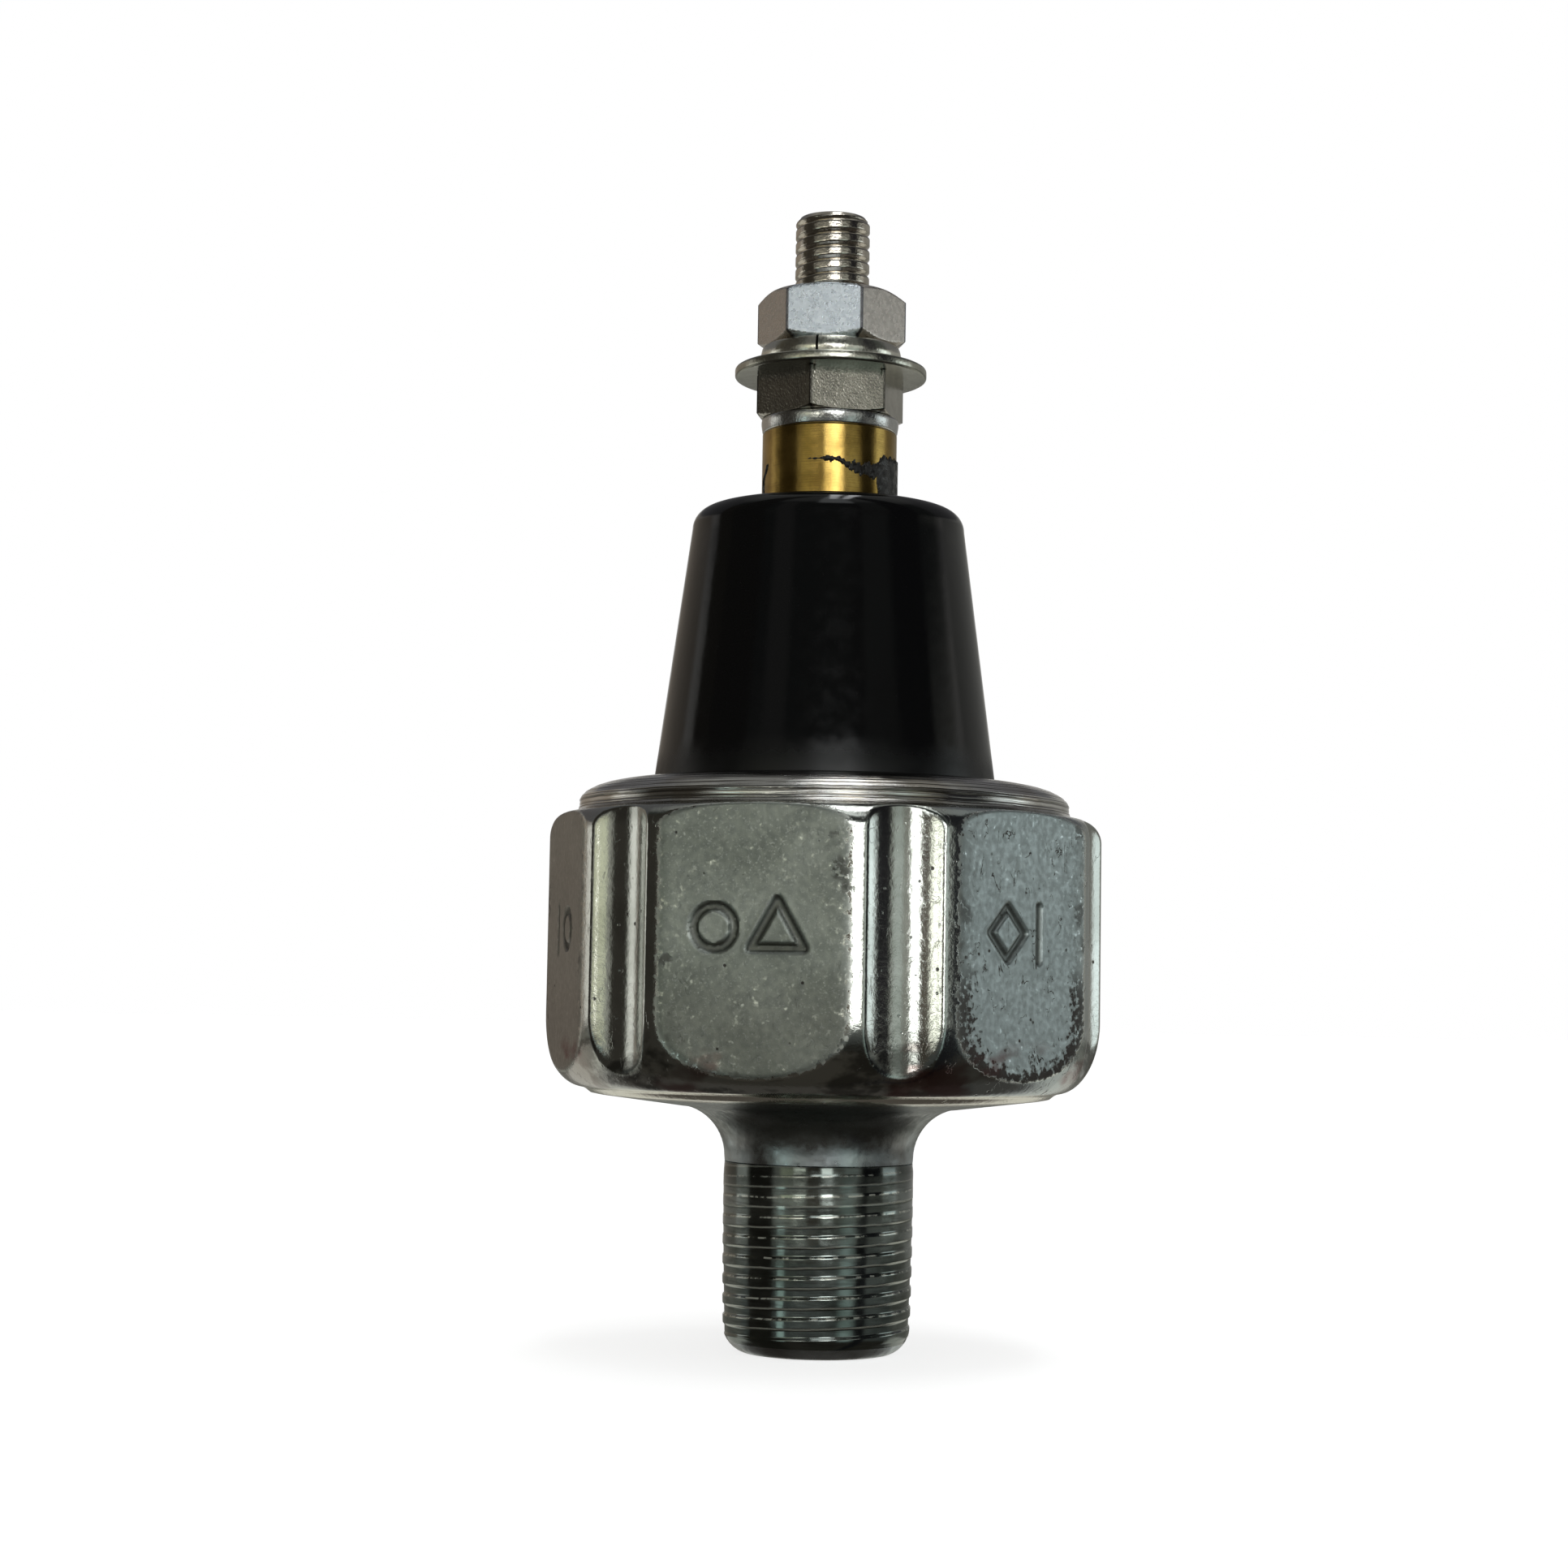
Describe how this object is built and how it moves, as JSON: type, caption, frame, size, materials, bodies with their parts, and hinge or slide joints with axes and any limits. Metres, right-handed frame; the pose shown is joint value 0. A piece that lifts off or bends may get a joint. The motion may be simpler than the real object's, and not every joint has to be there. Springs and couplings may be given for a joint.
{
  "type": "pressure switch",
  "caption": "Screw-in oil pressure switch with a fluted hexagon body, taper thread port, black moulded insulator and one M4 screw terminal.",
  "frame": {"origin": "on the axis, at the end of the port thread", "axes": "+Z along the axis from the port to the terminal; -Y is square to one flat of the hexagon"},
  "size_m": [0.0282, 0.027, 0.0587],
  "materials": {
    "zinc_steel": "worn bright zinc plate with fine scratches",
    "phenolic": "polished black moulding",
    "brass": "turned brass, slightly tarnished",
    "nickel_steel": "nickel plated thread",
    "nut_zinc": "grainy bright zinc plate",
    "jam_nut_zinc": "yellowish zinc plate",
    "washer_zinc": "bright zinc plate",
    "collar_tin": "bright tin plate",
    "lacquer": "dried sealing lacquer",
    "rubber": "oil-proof rubber",
    "polyimide_film": "amber film",
    "gasket_fibre": "pressed fibre",
    "contact_steel": "plain ground steel",
    "pusher_plastic": "natural moulded plastic",
    "contact_brass": "stamped brass",
    "contact_silver": "silver contact alloy",
    "spring_steel": "drawn spring wire"
  },
  "bodies": {
    "housing": {"switch_body": "zinc_steel", "body_seal": "rubber", "diaphragm": "polyimide_film", "diaphragm_backing": "polyimide_film", "contact_ring": "contact_steel", "insulator_gasket": "gasket_fibre", "pressure_spring": "spring_steel", "spring_seat": "contact_brass", "insulator": "phenolic", "terminal_bush": "brass", "bush_collar": "collar_tin", "terminal_stud": "nickel_steel", "lock_nut": "jam_nut_zinc", "sealing_lacquer": "lacquer"},
    "contact_carrier": {"plunger": "pusher_plastic", "contact_tips": "contact_silver", "moving_contact": "contact_brass"},
    "terminal_washers": {"flat_washer": "washer_zinc", "lock_washer": "washer_zinc"},
    "terminal_nut": {"terminal_nut": "nut_zinc"}
  },
  "joints": [
    {"name": "contact_lift", "type": "slide", "parent": "housing", "child": "contact_carrier", "axis": [0, 0, 1], "range_m": [0, 0.0004], "stiffness_N_per_m": 2500, "springref_m": -0.002, "deforming": ["pressure_spring"]},
    {"name": "washer_lift", "type": "slide", "parent": "housing", "child": "terminal_washers", "axis": [0, 0, 1], "range_m": [0, 0.0042]},
    {"name": "nut_turn", "type": "hinge", "parent": "terminal_washers", "child": "terminal_nut", "pos_m": [0, 0, 0.05315], "axis": [0, 0, 1], "range_deg": [0, 2160]}
  ],
  "couplings": [
    {"joint": "nut_turn", "follows": "washer_lift", "rad_per_m": 8976}
  ]
}
